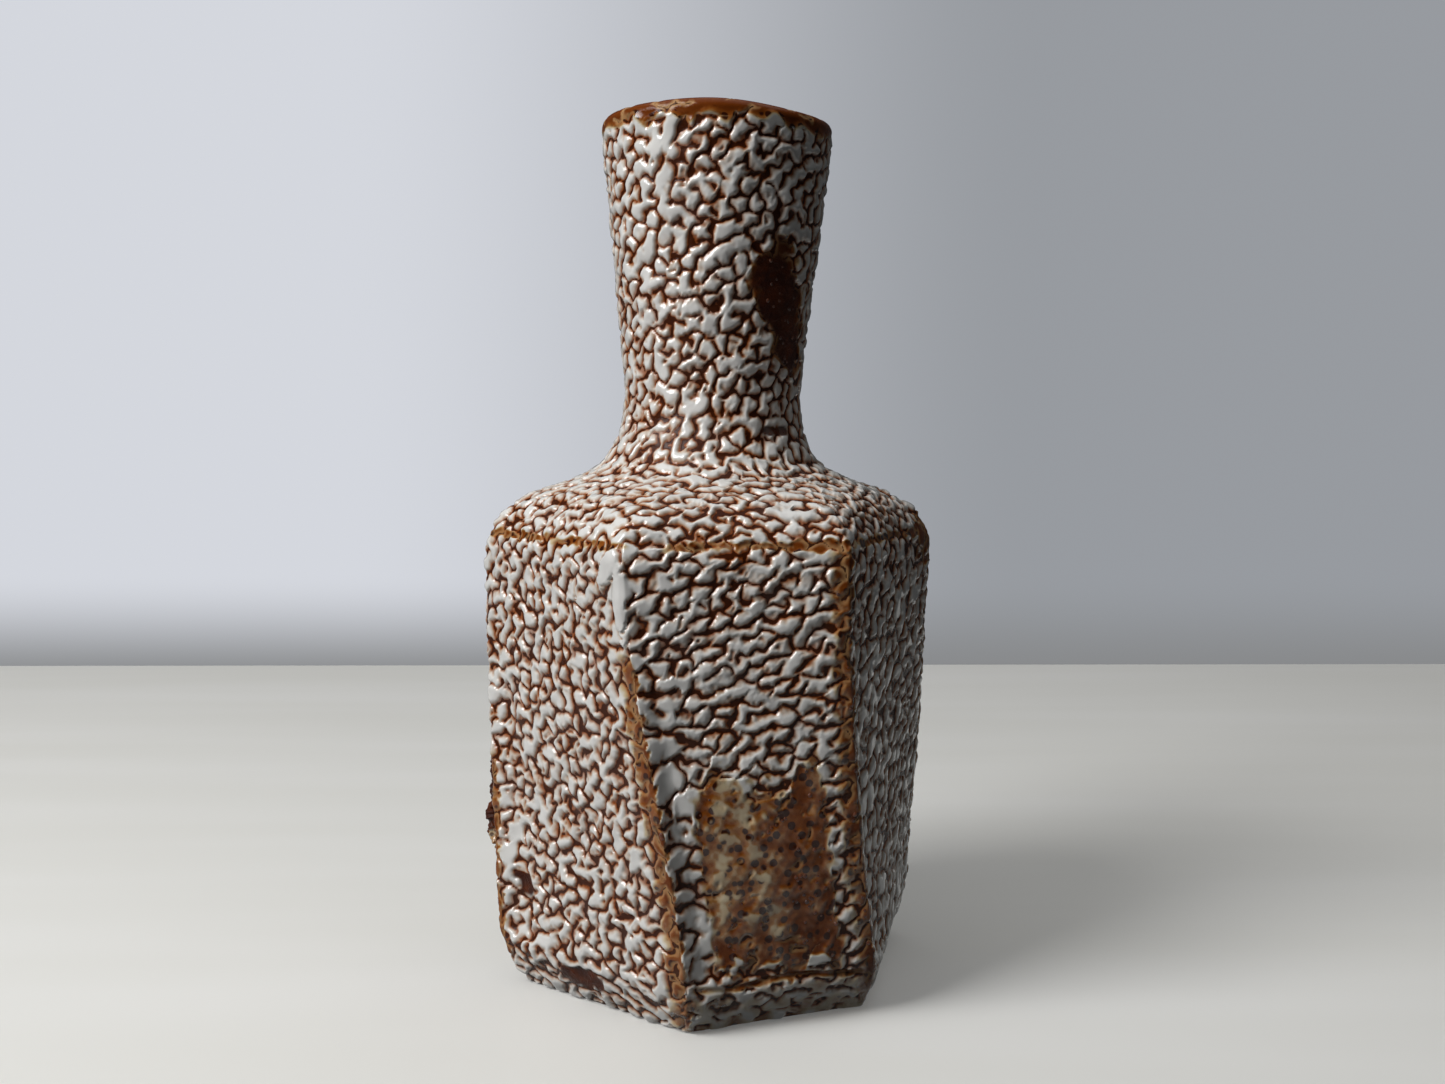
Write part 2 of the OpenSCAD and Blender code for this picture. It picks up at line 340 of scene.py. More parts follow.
# For each facet, then the foot, shoulder and neck: distance between beads, stretch of the beads and
# the angle at which they rise, share of cracks that run along and across the beads, share of cracks
# that stop half way, share of beads with a pit, and width of the cracks
GRAINS = np.array([
    (2.30, 1.10, 35, 0.42, 0.32, 0.42, 0.20, 1.08),
    (2.35, 1.75, 24, 0.46, 0.10, 0.44, 0.22, 1.05),
    (2.75, 1.30, 50, 0.50, 0.30, 0.42, 0.16, 1.45),
    (2.25, 1.50, 18, 0.44, 0.18, 0.44, 0.16, 1.00),
    (2.25, 1.05, 0, 0.37, 0.35, 0.44, 0.16, 1.00),
    (2.25, 1.50, -18, 0.44, 0.18, 0.44, 0.16, 1.00),
    (2.20, 1.30, 0, 0.44, 0.28, 0.40, 0.14, 1.00),
    (2.20, 1.50, 0, 0.42, 0.22, 0.44, 0.14, 1.00),
    (2.45, 1.20, 38, 0.50, 0.38, 0.38, 0.12, 1.05),
])
FOOT_GRAIN, SHOULDER_GRAIN, NECK_GRAIN = range(FACETS, FACETS + 3)

# For each ridge: the heights between which it is worn, how far the wear reaches to its left and
# right, how softly it ends on the left, and how strong it is
RIDGE_WEAR = np.array([
    (4, 44, 0.9, 0.7, 0.8, 1.00),
    (0, 67, 1.5, 0.2, 2.6, 1.00),
    (0, 86, 1.2, 0.4, 2.8, 0.90),
    (0, 86, 0.9, 0.3, 1.6, 0.75),
    (0, 60, 1.3, 0.3, 2.2, 0.95),
    (0, 86, 1.1, 0.4, 2.4, 0.85),
])


def from_ridge(f, v):
    """The nearest ridge, and how far it is in millimetres, negative to its left."""
    radius, z, _, facet, _ = place(f, v)
    span = np.radians(ridge_angle(facet + 1, z) - ridge_angle(facet, z)) * radius
    nearest = np.round(f).astype(int)
    return nearest % FACETS, (f - nearest) * span


def grain(f, v):
    """The rows of GRAINS, blended from one part of the bottle to the next."""
    part = GRAINS[np.floor(f).astype(int) % FACETS]
    for mark, row in (("arris", SHOULDER_GRAIN), ("joint", NECK_GRAIN)):
        part = mix(part, GRAINS[row], ease((v - MARKS[mark] + 1) / 2)[:, None])
    part = mix(GRAINS[FOOT_GRAIN], part, ease((v - MARKS["band"] + 1) / 2)[:, None])
    _, side = from_ridge(f, v)
    on_wall = v < MARKS["arris"]
    calm = np.minimum(np.abs(v - MARKS["arris"]), np.abs(v - MARKS["joint"]))
    calm = np.minimum(calm, np.where(on_wall, np.abs(side), 99))
    calm = np.minimum(calm, np.abs(v - MARKS["band"]))
    part = part.copy()
    part[:, 1] = mix(1, part[:, 1], ease(calm / 4))
    sparse = run_off(f, v)
    part[:, 0] *= 1 + 0.6 * sparse
    for column, value in ((1, 1.5), (2, 0), (3, 0.50), (4, 0.14), (5, 0.30)):
        part[:, column] = mix(part[:, column], value, sparse)
    blob = thick_lump(f, v)
    part[:, 0] *= 1 + 0.8 * blob
    part[:, 3:7] *= (1 - blob)[:, None]
    spotted = patch_share(f, v)
    for column, value in ((3, 0.02), (4, 0.02), (5, 0.06), (6, 0.3)):
        part[:, column] = mix(part[:, column], value, spotted)
    part[:, 3:6] *= (1 - 0.45 * foot_roll(f, v))[:, None]
    lip = ease((height_of(v) - 155.5) / 1.5) * (v > MARKS["joint"])
    part[:, 3:7] *= (1 - 0.8 * lip)[:, None]
    return part


def run_off(f, v):
    """The smooth white run beside the front facet's left ridge, where the glaze lies thick."""
    z = height_of(v)
    s = f - 1
    return ease(s / 0.01) * ease((0.19 - s) / 0.05) * ease((66 - z) / 8) * ease((z - 8) / 4)


def thick_lump(f, v):
    """Thick glaze that ran from the top of the front facet's left ridge down along it."""
    z = height_of(v)
    drop = np.hypot((f - 0.925) / 0.075, (z - 80.5 - 30 * (f - 0.925)) / 4)
    run = np.hypot((f - 0.98) / 0.04, (z - 75) / 8)
    return 1 - ease((np.minimum(drop, run) - 0.4) / 0.8)


def foot_roll(f, v):
    """Share of the rolled edge of glaze under the front facet."""
    z = height_of(v)
    turn = f % FACETS
    return ease((turn - 0.93) / 0.08) * ease((2.05 - turn) / 0.08) * ease((8.4 - z) / 1.5)


def ledge(f, v):
    """Share of the groove where the front facet's cut ends above the foot."""
    z = height_of(v)
    turn = f % FACETS
    wave = 0.5 * np.sin(turn * 9)
    ends = ease((turn - 1.02) / 0.05) * ease((1.97 - turn) / 0.05)
    return (1 - ease((np.abs(z - LEDGE_H - wave) - 0.15) / 0.75)) * ends


def patch_share(f, v, s_noise=0, h_noise=0):
    """Share of the rusty patch low on the front facet."""
    z = height_of(v)
    s = f - 1 + s_noise
    h = z + h_noise
    top = 46.5 - 7 * ease((0.28 - s) / 0.18) - 4 * ease((s - 0.45) / 0.06) + 5 * ease((s - 0.66) / 0.06)
    side = ease((s - 0.14) / 0.05) * ease((0.86 - s) / 0.05)
    return side * ease((h - 10.5) / 1.6) * ease((top - h) / 2.5)


def rust_patch(f, v, points):
    """How far the glaze has gone from the rusty patch."""
    z = height_of(v)
    s_noise = 0.010 * ripple(points, 5, 21) + 0.008 * ripple(points, 1.8, 22)
    h_noise = 1.0 * ripple(points, 6, 23) + 0.7 * ripple(points, 2.2, 24)
    s = f - 1 + s_noise
    inside = patch_share(f, v, s_noise, h_noise)
    rusty = 0.7 * ease((s - 0.5) / 0.16) + 0.6 * ease((21 - z) / 8) + 0.4 * ease((0.26 - s) / 0.1)
    uneven = 0.13 * ripple(points, 4, 25) + 0.07 * ripple(points, 1.4, 26)
    rusty = 0.36 + 0.52 * np.clip(rusty, 0, 1) + uneven
    return inside * np.clip(rusty, 0.18, 0.9)


def oval(a, z, angle, height, wide, tall, seed, points):
    """Share of an oval spot with an uneven edge, at an angle and a height."""
    far = np.hypot((a - angle) / wide, (z - height) / tall)
    return 1 - ease((far - 0.85 + 0.16 * ripple(points, 3, seed)) / 0.3)


def wear(f, v, points):
    """Where the glaze is thin and rusty, and where the clay is bare, both from 0 to 1."""
    _, z, _, _, a = place(f, v)
    a = (a + 180) % 360 - 180
    ridge, side = from_ridge(f, v)
    low, high, left, right, fade, strength = RIDGE_WEAR[ridge].T
    x = side + 0.3 * ripple(points, 4, 31) + 0.15 * ripple(points, 1.3, 32)
    uneven = 0.9 + 0.2 * ripple(points, 7, 33)
    edge = np.where(x < 0, 1 - ease((-x - left) / fade) ** 0.7, 1 - ease((x - right) / 0.45))
    on_wall = ease((MARKS["arris"] - v + 1) / 1.5)
    thin = edge * strength * uneven * ease((high - z) / 5) * ease((z - low) / 3) * on_wall
    arris = v - MARKS["arris"]
    strip = 1 - ease((np.abs(arris + 0.25 * ripple(points, 3, 34)) - 0.35) / 0.55)
    worn = ease((f % FACETS - 1.36) / 0.1) * ease((2.1 - f % FACETS) / 0.1)
    thin = np.maximum(thin, strip * np.clip(0.5 + 0.4 * ripple(points, 12, 35) + worn, 0, 1))
    thin = np.maximum(thin, rust_patch(f, v, points))
    thin = np.maximum(thin, oval(a, z, *RUST_SPOT, points))
    thin = np.maximum(thin, foot_roll(f, v) * np.clip(0.14 + 0.12 * ripple(points, 5, 48), 0, 1))
    thin = np.maximum(thin, ledge(f, v) * np.clip(0.85 + 0.4 * ripple(points, 7, 50), 0, 1))
    inside = v > MARKS["rim"]
    on_neck = (v > MARKS["joint"]) * ~inside
    thin = np.maximum(thin, ease((z - LIP_RUST_H + 0.5 * ripple(points, 6, 38)) / 1.7) * on_neck)
    rust_in_bore = ease((z - BORE_RUST_H + 0.7 * ripple(points, 5, 39)) / 1.6)
    thin = np.where(inside, rust_in_bore, thin)
    bare = neck_scar(a, z, points, 0) * on_neck
    thin = np.maximum(thin, 0.8 * neck_scar(a, z, points, 2.5) * on_neck)
    bare = np.maximum(bare, 0.9 * oval(a, z, *JOINT_SPOT, points))
    for spot in BARE_SPOTS:
        bare = np.maximum(bare, oval(a, z, *spot, points) * ~inside)
    return np.clip(thin, 0, 1), np.clip(bare, 0, 1)


def neck_scar(a, z, points, wider):
    """The dark scar on the right of the neck: pointed at the top, with a streak running down from it."""
    half = 18 * ease((140 - z) / 12) * mix(0.7, 1, ease((z - 118) / 8)) * ease((z - 112) / 5)
    middle = 37 + 1.4 * np.maximum(130 - z, 0)
    edge = half + wider - np.abs(a - middle) + 2.2 * ripple(points, 4, 41) - 1
    return ease(edge / 4 + 0.4) * ease(half - 1)


# ---------------------------------------------------------------- the net of cracks

# Pairs of a point's four nearest beads between which a crack may run
CRACK_PAIRS = ((0, 1), (0, 2), (0, 3), (1, 2), (1, 3))
# Size of the cells that share a list of beads, and how many beads a list has
CELL = 2.5
CELL_CENTRES = 26
# How softly cracks flow into each other
CRACK_BLEND = 0.15
# How many points are worked out together, which bounds the memory
CHUNK = 40000


def draw(i, j, salt):
    """A number from 0 to 1 that is the same each time for a pair of beads and a salt."""
    low, high = np.minimum(i, j), np.maximum(i, j)
    wave = np.sin(low * 12.9898 + high * 78.233 + salt * 37.719) * 43758.5453
    return np.modf(np.abs(wave))[0]


def bead_centres(start, end, seed):
    """Centres of the beads between two marks of the outline, kept apart by the grain's distance."""
    rng = np.random.default_rng(seed)
    step = 0.5
    rows = []
    for v in np.arange(start, end, step):
        radius = np.interp(v, outline()[0], outline()[1][:, 0])
        count = int(2 * np.pi * radius / step)
        f = (np.arange(count) + rng.uniform(0, 1, count)) * FACETS / count
        rows.append(np.stack([f, v + rng.uniform(0, step, count)], 1))
    f, v = np.concatenate(rows).T
    points, gaps = skin(f, v), grain(f, v)[:, 0]
    tree = KDTree(len(points))
    for i, point in enumerate(points):
        tree.insert(point, i)
    tree.balance()
    free = np.ones(len(points), bool)
    chosen = []
    for i in rng.permutation(len(points)):
        if free[i]:
            chosen.append(i)
            free[[j for _, j, _ in tree.find_range(points[i], gaps[i])]] = False
    return points[chosen]


@lru_cache(maxsize=2)
def beads(inside):
    """Centres of the beads outside or inside the bottle, and a tree to find them in."""
    if inside:
        centres = bead_centres(MARKS["rim"], MARKS["end"], 7)
    else:
        centres = bead_centres(0, MARKS["rim"] + 2, 5)
    tree = KDTree(len(centres))
    for i, centre in enumerate(centres):
        tree.insert(centre, i)
    tree.balance()
    return centres, tree


def nearby_beads(points, tree):
    """For each point, the beads nearest to the small cell that it is in."""
    cells = np.floor(points / CELL).astype(np.int64)
    _, first, index = np.unique(cells @ (1 << 20, 1 << 10, 1), return_index=True, return_inverse=True)
    middles = (cells[first] + 0.5) * CELL
    lists = [[i for _, i, _ in tree.find_n(middle, CELL_CENTRES)] for middle in middles]
    return np.array(lists)[index.ravel()]


def crack_distance(points, out, along, part, inside):
    """Distance from each point to the nearest crack or pit, worked out a few points at a time."""
    centres, tree = beads(inside)
    near = nearby_beads(points, tree)
    return np.concatenate([
        cracks_near(points[k], out[k], along[k], part[k], centres, near[k])
        for k in (slice(start, start + CHUNK) for start in range(0, len(points), CHUNK))
    ])


def cracks_near(x, out, along, part, centres, near):
    """Distance from each point to the nearest crack or pit between the beads near it.

    Cracks run midway between neighbouring beads, in a space stretched along the grain. Chance
    keeps each crack whole, stops it half way or leaves it out.
    """
    stretch = part[:, 1:2]
    keep_along, keep_cross, half_way, pitted = part[:, 3:7].T

    def stretched(way):
        """A way in the space in which the beads are round."""
        length = np.einsum("nc,nc->n", way, along)[:, None]
        return way * stretch + along * length * (1 / stretch - stretch)

    delta = x[:, None, :] - centres[near]
    aligned = np.einsum("nkc,nc->nk", delta, along)
    far = (delta**2).sum(2) * stretch + aligned**2 * (1 / stretch - stretch)
    order = np.argsort(far, axis=1)[:, :4]
    near = np.take_along_axis(near, order, 1)
    far = np.take_along_axis(far, order, 1)
    site = centres[near]
    total = np.zeros(len(x))
    for i, j in CRACK_PAIRS:
        apart = stretched(site[:, j] - site[:, i])
        size = np.linalg.norm(apart, axis=1)
        across = apart / size[:, None]
        off = (far[:, j] - far[:, i]) / (2 * size)
        beyond = np.zeros(len(x))
        for k in set(range(4)) - {i, j}:
            other = stretched(site[:, k] - site[:, i])
            lost = (far[:, i] - far[:, k]) + 2 * off * np.einsum("nc,nc->n", across, other)
            beyond = np.maximum(beyond, lost / (2 * np.linalg.norm(other, axis=1)))
        run = np.cross(across, out)
        sign = np.where(near[:, i] < near[:, j], 1.0, -1.0)
        middle = (site[:, i] + site[:, j]) / 2
        step = np.einsum("nc,nc->n", x - middle, run) * sign
        lies_across = np.einsum("nc,nc->n", across, along) ** 2
        chance = mix(keep_along, keep_cross, lies_across)
        luck = draw(near[:, i], near[:, j], 0)
        stop = (draw(near[:, i], near[:, j], 1) - 0.55) * 1.7
        is_spur = draw(near[:, i], near[:, j], 8) < 0.7
        past = np.maximum(0, np.where(is_spur, step - stop, np.abs(step) - 0.55))
        past = np.where(luck < chance, 0.0, np.where(luck < chance + half_way, past, 9.0))
        total += np.exp(-np.sqrt(off**2 + beyond**2 + past**2) / CRACK_BLEND)
    bead = near[:, 0]
    shift = np.stack([draw(bead, bead, 3 + c) - 0.5 for c in range(3)], 1) * 1.2
    pit = np.linalg.norm(x - site[:, 0] - shift, axis=1) + 0.05
    total += np.where(draw(bead, bead, 2) < pitted, np.exp(-pit / CRACK_BLEND), 0.0)
    return -CRACK_BLEND * np.log(total + 1e-9)


def glaze(f, v, inside=False):
    """The finished surface of the glaze: its points, and what the shader reads from them.

    crawl is the distance to a crack's edge in millimetres, negative in the crack. thin and bare
    are shares.
    """
    look = settings().glaze
    points, across, up, out = skin_frame(f, v)
    part = grain(f, v)
    rise = np.radians(part[:, 2])[:, None]
    along = across * np.cos(rise) + up * np.sin(rise)
    sway = np.stack([
        ripple(points, 2.8, 51 + c) + 0.25 * ripple(points, 1.2, 61 + c) for c in range(3)
    ], 1)
    part[:, 3:5] *= 1 - 0.1 * ease(ripple(points, 14, 55))[:, None]
    crack = crack_distance(points + look.waviness / MM * sway, out, along, part, inside)
    uneven = 1 + 0.18 * ripple(points, 2.2, 57) + 0.1 * ripple(points, 0.7, 58)
    thin, bare = wear(f, v, points)
    lump = thick_lump(f, v)
    width = look.crack_width / MM * uneven * part[:, 7] * (1 - 0.3 * lump) * (1 - 0.4 * thin)
    crawl = crack - width / 2
    swell = np.clip(crawl / (look.bead_round / MM), 0, 1)
    bead = 1 - (1 - swell) ** 2
    height = mix(bead * (1 - 0.72 * thin), 0.15, bare)
    _, side = from_ridge(f, v)
    fold = 0.4 * np.clip(1 - np.abs(side) / 1.6, 0, 1) ** 2
    proud = (0.6 - fold) * lump + 0.15 * run_off(f, v) + 0.1 * ripple(points, 6, 59) * (1 - thin)
    depth = look.depth / MM * (1 - height) - proud + LEDGE_DEPTH * ledge(f, v)
    return points - out * depth[:, None], {"crawl": crawl, "thin": thin, "bare": bare}


# ---------------------------------------------------------------- meshes


def grid_normals(points):
    """Normals of the inner points of a grid, from their neighbours."""
    across = points[1:-1, 2:] - points[1:-1, :-2]
    up = points[2:, 1:-1] - points[:-2, 1:-1]
    out = np.cross(across, up)
    return out / np.linalg.norm(out, axis=2, keepdims=True)


def coat(name, columns, rows, closed, backing, inside=False):
    """Makes a closed coat of glaze over a grid of columns f and rows v.

    Its outer face is dense. A coarse face lies a given depth behind it, and narrow walls close the
    rims. With closed, the columns run all the way round.
    """
    f = np.concatenate([[2 * columns[0] - columns[1]], columns, [2 * columns[-1] - columns[-2]]])
    v = np.concatenate([[2 * rows[0] - rows[1]], rows, [2 * rows[-1] - rows[-2]]])
    grid_f, grid_v = np.meshgrid(f, v)
    points, marks = glaze(grid_f.ravel(), grid_v.ravel(), inside)
    grid = points.reshape(*grid_f.shape, 3)
    normals = grid_normals(grid)
    front = grid[1:-1, 1:-1]
    tall, wide = front.shape[:2]
    back_rows = thinned(tall)
    back_columns = thinned(wide, closed)
    back_f, back_v = np.meshgrid(columns[back_columns], rows[back_rows])
    base, _, _, out = skin_frame(back_f.ravel(), back_v.ravel())
    behind = base - out * backing
    faces = front_faces(tall, wide, closed)
    offset = tall * wide
    back_count = len(back_columns)
    back_faces = front_faces(len(back_rows), back_count, closed)[:, ::-1] + offset
    walls = []
    for row, back_row, flip in ((0, 0, False), (tall - 1, len(back_rows) - 1, True)):
        edge = [row * wide + i for i in range(wide)] + ([row * wide] if closed else [])
        stops = list(back_columns) + ([wide] if closed else [])
        back = [offset + back_row * back_count + i for i in range(back_count)]
        back += [back[0]] if closed else []
        walls += rim_wall(edge, stops, back, flip)
    if not closed:
        for column, back_column, flip in ((0, 0, True), (wide - 1, back_count - 1, False)):
            edge = [j * wide + column for j in range(tall)]
            back = [offset + j * back_count + back_column for j in range(len(back_rows))]
            walls += rim_wall(edge, list(back_rows), back, flip)
    mesh = bpy.data.meshes.new(name)
    corners = np.concatenate([front.reshape(-1, 3), behind]) * MM
    mesh.from_pydata(corners.tolist(), [], faces.tolist() + back_faces.tolist() + walls)
    inner = {key: values.reshape(grid_f.shape)[1:-1, 1:-1].ravel() for key, values in marks.items()}
    store(mesh, {
        key: np.concatenate([values, np.full(len(behind), values.max())]) for key, values in inner.items()
    })
    return finish_mesh(mesh, np.concatenate([normals.reshape(-1, 3), -out]))


def thinned(count, closed=False):
    """Every few indices of a row, with its last one unless the row is closed."""
    picked = list(range(0, count if closed else count - 1, BACKING_STEP))
    return np.array(picked if closed else picked + [count - 1])


def front_faces(tall, wide, closed):
    """Corners of the faces of a grid, as an array."""
    columns = wide if closed else wide - 1
    j, i = np.meshgrid(np.arange(tall - 1), np.arange(columns), indexing="ij")
    right = (i + 1) % wide
    quads = np.stack([j * wide + i, j * wide + right, (j + 1) * wide + right, (j + 1) * wide + i], 2)
    return quads.reshape(-1, 4)


def rim_wall(edge, stops, back, flip):
    """Triangles between a dense edge and the few points behind it."""
    faces = []
    for (start, end), (low, high) in zip(zip(stops, stops[1:]), zip(back, back[1:])):
        middle = (start + end) // 2
        for i in range(start, end):
            faces.append((edge[i + 1], edge[i], low if i < middle else high))
        faces.append((edge[middle], low, high))
    return [face[::-1] for face in faces] if flip else faces


def finish_mesh(mesh, normals):
    """Links a mesh as an object that is shaded smoothly with the given normals."""
    mesh.update()
    mesh.shade_smooth()
    mesh.normals_split_custom_set_from_vertices(normals.tolist())
    mesh.validate()
    return linked(mesh.name, mesh)


def linked(name, data):
    """A new object in the scene, with its data named alike."""
    data.name = name
    thing = bpy.data.objects.new(name, data)
    bpy.context.scene.collection.objects.link(thing)
    return thing


def mesh_from(shape, name):
    """A mesh made of a bmesh, which is freed."""
    mesh = bpy.data.meshes.new(name)
    shape.to_mesh(mesh)
    shape.free()
    return mesh


def applied(thing, context):
    """The mesh that an object's modifiers make. The object goes."""
    mesh = bpy.data.meshes.new_from_object(thing.evaluated_get(context.evaluated_depsgraph_get()))
    bpy.data.objects.remove(thing)
    return mesh


def store(mesh, marks):
    """Stores what the shader reads from each point of a mesh."""
    for key, values in marks.items():
        layer = mesh.attributes.new(key, "FLOAT", "POINT")
        layer.data.foreach_set("value", np.asarray(values, np.float32))


def lathe(name, rings):
    """Makes a closed shape from rings of points, with a pole at its first and last ring's middle."""
    wide = len(rings[0])
    points = np.concatenate([*rings, [rings[0].mean(0), rings[-1].mean(0)]])
    last = (len(rings) - 1) * wide
    first_pole = len(rings) * wide
    faces = front_faces(len(rings), wide, True).tolist()
    for i in range(wide):
        after = (i + 1) % wide
        faces.append((first_pole, after, i))
        faces.append((first_pole + 1, last + i, last + after))
    mesh = bpy.data.meshes.new(name)
    mesh.from_pydata((points * MM).tolist(), [], faces)
    mesh.validate()
    mesh.shade_smooth()
    mesh.set_sharp_from_angle(angle=math.radians(40))
    return linked(name, mesh)


def rows_between(start, end, step=ROW_STEP):
    """Even rows between two marks of the outline."""
    return np.linspace(start, end, max(4, round((end - start) / step)) + 1)


def settle(piece, material, slot, *nodes):
    """Gives a piece its material and body, and hides the CAD nodes that it stands for. Its slot is not
    used.
    """
    piece.data.materials.clear()
    piece.data.materials.append(material)
    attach(piece, BODY)
    if nodes:
        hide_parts(*nodes)
    return piece


# ---------------------------------------------------------------- materials


class Wire:
    """A socket's value. Sums on it add Math nodes."""

    def __init__(self, finish, socket):
        self.finish = finish
        self.socket = socket

    def _math(self, operation, *values):
        inputs = dict(enumerate(values))
        return self.finish.node("ShaderNodeMath", {"operation": operation}, inputs)

    def __add__(self, other):
        return self._math("ADD", self, other)

    __radd__ = __add__

    def __sub__(self, other):
        return self._math("SUBTRACT", self, other)

    def __rsub__(self, other):
        return self._math("SUBTRACT", other, self)

    def __mul__(self, other):
        return self._math("MULTIPLY", self, other)

    __rmul__ = __mul__

    def between(self, start, end):
        """Smooth step from 0 at start to 1 at end, which may be the lower one."""
        rising = end > start
        values = {"From Min": min(start, end), "From Max": max(start, end)}
        values |= {"To Min": 0 if rising else 1, "To Max": 1 if rising else 0}
        return self.finish.node(
            "ShaderNodeMapRange", {"interpolation_type": "SMOOTHSTEP"}, {"Value": self} | values)


class Finish:
    """Builds a material's nodes."""

    def __init__(self, name):
        self.material = bpy.data.materials.new(name)
        self.material.use_nodes = True
        self.material.node_tree.nodes.clear()

    def node(self, kind, states=None, inputs=None, output=0):
        """Adds a node with its settings and its sockets' values, and returns one of its outputs."""
        node = self.material.node_tree.nodes.new(kind)
        for key, value in (states or {}).items():
            if key == "stops":
                set_stops(node.color_ramp.elements, value)
            else:
                setattr(node, key, value)
        for key, value in (inputs or {}).items():
            if isinstance(value, Wire):
                self.material.node_tree.links.new(value.socket, node.inputs[key])
            else:
                node.inputs[key].default_value = value
        return Wire(self, node.outputs[output])

    def attribute(self, name):
        """A number that the mesh holds for each point."""
        return self.node("ShaderNodeAttribute", {"attribute_name": name}, output="Fac")

    def noise(self, size, detail=3, stretch=(1, 1, 1)):
        """Noise whose lumps are a given size in metres."""
        here = self.node("ShaderNodeTexCoord", output="Object")
        here = self.node("ShaderNodeMapping", inputs={"Vector": here, "Scale": stretch})
        return self.node("ShaderNodeTexNoise", inputs={"Vector": here, "Scale": 1 / size, "Detail": detail})

    def spots(self, pitch):
        """Distance to scattered points a given pitch apart, in shares of the pitch."""
        here = self.node("ShaderNodeTexCoord", output="Object")
        return self.node("ShaderNodeTexVoronoi", inputs={"Vector": here, "Scale": 1 / pitch})

    def blend(self, share, low, high):
        """Blend of two colours."""
        inputs = {0: share, 6: opaque(low), 7: opaque(high)}
        return self.node("ShaderNodeMix", {"data_type": "RGBA"}, inputs, output=2)

    def ramp(self, value, stops):
        """Colours along a value."""
        return self.node("ShaderNodeValToRGB", {"stops": stops}, {"Fac": value})

    def bump(self, height, distance, strength=1.0):
        """Normal of a bumpy surface."""
        inputs = {"Height": height, "Distance": distance, "Strength": strength}
        return self.node("ShaderNodeBump", inputs=inputs)

    def close(self, **inputs):
        """Adds the surface shader and returns the material."""
        named = {key.replace("_", " "): value for key, value in inputs.items()}
        shader = self.node("ShaderNodeBsdfPrincipled", inputs=named)
        self.node_output(shader)
        return self.material

    def node_output(self, shader):
        """Connects a shader to the material's output."""
        output = self.material.node_tree.nodes.new("ShaderNodeOutputMaterial")
        self.material.node_tree.links.new(shader.socket, output.inputs["Surface"])


def opaque(colour):
    """A colour with its alpha, or a wire as it is."""
    return colour if isinstance(colour, Wire) else (*colour, 1)


def set_stops(elements, stops):
    """Sets the stops of a colour ramp."""
    while len(elements) < len(stops):
        elements.new(0.5)
    for element, (position, colour) in zip(elements, stops):
        element.position = position
        element.color = opaque(colour)


# Colours of the glaze as it thins, from cream to dark rust
RUST_STOPS = (
    (0.14, (0.52, 0.42, 0.26)), (0.33, (0.31, 0.138, 0.038)),
    (0.55, (0.22, 0.062, 0.008)), (1.0, (0.13, 0.028, 0.003)),
)
SPECK_COLOUR = (0.034, 0.006, 0.001)
SCAR_COLOURS = ((0.032, 0.006, 0.002), (0.095, 0.020, 0.004))


@lru_cache(maxsize=1)
def crawled_glaze():
    """White glaze, rusty where it is thin, with brown cracks and bare scars."""
    look = settings().glaze
    finish = Finish("crawled_glaze")
    crawl = finish.attribute("crawl")
    thin = finish.attribute("thin")
    bare = finish.attribute("bare")
    cloud = finish.noise(0.005)
    fine = finish.noise(0.0007, 4)
    clouded = (cloud - 0.5) * 0.5 * thin.between(0.0, 0.3)
    grainy = (fine - 0.5) * 0.5 * thin.between(0.1, 0.6)
    body = finish.ramp(thin + clouded + grainy, ((0.0, tuple(look.white)), *RUST_STOPS))
    specks = finish.spots(0.0019) + (fine - 0.5) * 0.2
    speck = specks.between(0.44, 0.32) * thin.between(0.15, 0.35) * thin.between(1.0, 0.92)
    body = finish.blend(speck, body, SPECK_COLOUR)
    halo_width = look.halo_width / MM
    edge = crawl.between(2 * halo_width, 0.1) * (cloud.between(0.3, 0.7) * 0.35 + 0.5)
    body = finish.blend(edge, body, tuple(look.edge))
    halo = crawl.between(halo_width, 0.0) * thin.between(1.0, 0.4)
    halo = halo * (cloud.between(0.25, 0.65) * 0.3 + 0.7)
    body = finish.blend(halo, body, tuple(look.halo))
    crack = crawl.between(0.05, -0.06)
    colour = finish.blend(crack * 0.95, body, tuple(look.crack))
    scar = finish.blend(finish.noise(0.003, 4).between(0.35, 0.7), *SCAR_COLOURS)
    colour = finish.blend(bare, colour, scar)
    rough = 0.12 + thin.between(0.3, 0.9) * 0.1 + crack * 0.12 + bare * 0.16
    gloss = thin.between(1.0, 0.2) * crawl.between(0.0, 0.3) * bare.between(0.6, 0.1) * 0.8
    grit = (fine * 0.7 + finish.noise(0.0002) * 0.3) * (crack * 0.6 + bare + thin * 0.35)
    return finish.close(
        Base_Color=colour, Roughness=rough, Specular_IOR_Level=0.12,
        Coat_Weight=gloss, Coat_Roughness=0.08,
        Normal=finish.bump(grit, 0.00035, 0.6))


@lru_cache(maxsize=1)
def stoneware():
    """Bare iron-brown clay with grit."""
    look = settings().clay
    finish = Finish("stoneware")
    cloud = finish.noise(0.006)
    grain_noise = finish.noise(0.0006, 4)
    colour = finish.blend(cloud.between(0.3, 0.7), tuple(look.dark), tuple(look.light))
    grit = finish.spots(0.0012).between(0.22, 0.12)
    colour = finish.blend(grit * 0.5, colour, (0.30, 0.19, 0.12))
    rough = 0.62 + grain_noise * 0.2
    return finish.close(
        Base_Color=colour, Roughness=rough, Normal=finish.bump(grain_noise + grit * 0.5, 0.0003, 0.7))


